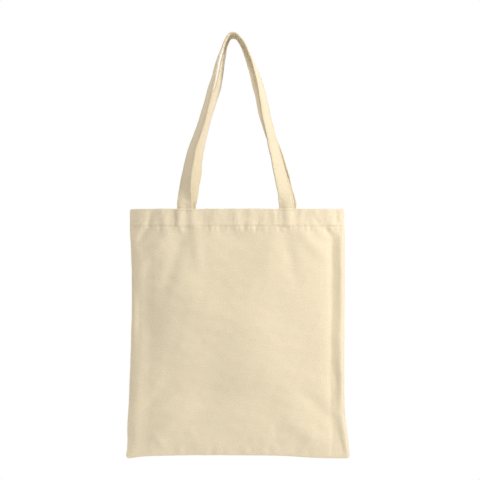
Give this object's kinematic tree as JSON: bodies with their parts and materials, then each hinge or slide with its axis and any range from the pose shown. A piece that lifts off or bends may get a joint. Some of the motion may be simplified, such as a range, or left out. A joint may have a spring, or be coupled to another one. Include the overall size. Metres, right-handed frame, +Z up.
{
  "type": "canvas tote bag",
  "caption": "Flat canvas tote bag with a turned hem and long folded handles, hanging empty from a hook by its handles.",
  "frame": {"origin": "where the hook carries the handles: between the two straps, at the height of their undersides", "axes": "+Z up, -Y towards the bag's front, +X to the right as seen from the front"},
  "size_m": [0.3656, 0.0516, 0.6961],
  "materials": {
    "canvas": "natural unbleached plain-weave cotton canvas, matt, with small seed flecks",
    "strap_canvas": "the same canvas folded in four, matt, a little darker",
    "thread": "natural cotton sewing thread, matt"
  },
  "bodies": {
    "bag": {"front_panel": "canvas", "back_panel": "canvas", "front_left_handle_end": "strap_canvas", "front_right_handle_end": "strap_canvas", "back_left_handle_end": "strap_canvas", "back_right_handle_end": "strap_canvas", "front_left_top_stitching": "thread", "front_right_top_stitching": "thread", "back_left_top_stitching": "thread", "back_right_top_stitching": "thread", "hem_stitching": "thread", "left_seam_overlock": "thread", "right_seam_overlock": "thread", "bottom_seam_overlock": "thread"},
    "front_handle": {"front_handle": "strap_canvas", "front_handle_inner_stitching": "thread", "front_handle_outer_stitching": "thread"},
    "back_handle": {"back_handle": "strap_canvas", "back_handle_inner_stitching": "thread", "back_handle_outer_stitching": "thread"}
  },
  "joints": [
    {"name": "front_handle_swing", "type": "hinge", "parent": "bag", "child": "front_handle", "pos_m": [0.004, -0.019, -0.28], "axis": [1, 0, 0], "range_deg": [0, 172]},
    {"name": "back_handle_swing", "type": "hinge", "parent": "bag", "child": "back_handle", "pos_m": [0.0088, 0.019, -0.28], "axis": [1, 0, 0], "range_deg": [-172, 0]}
  ]
}
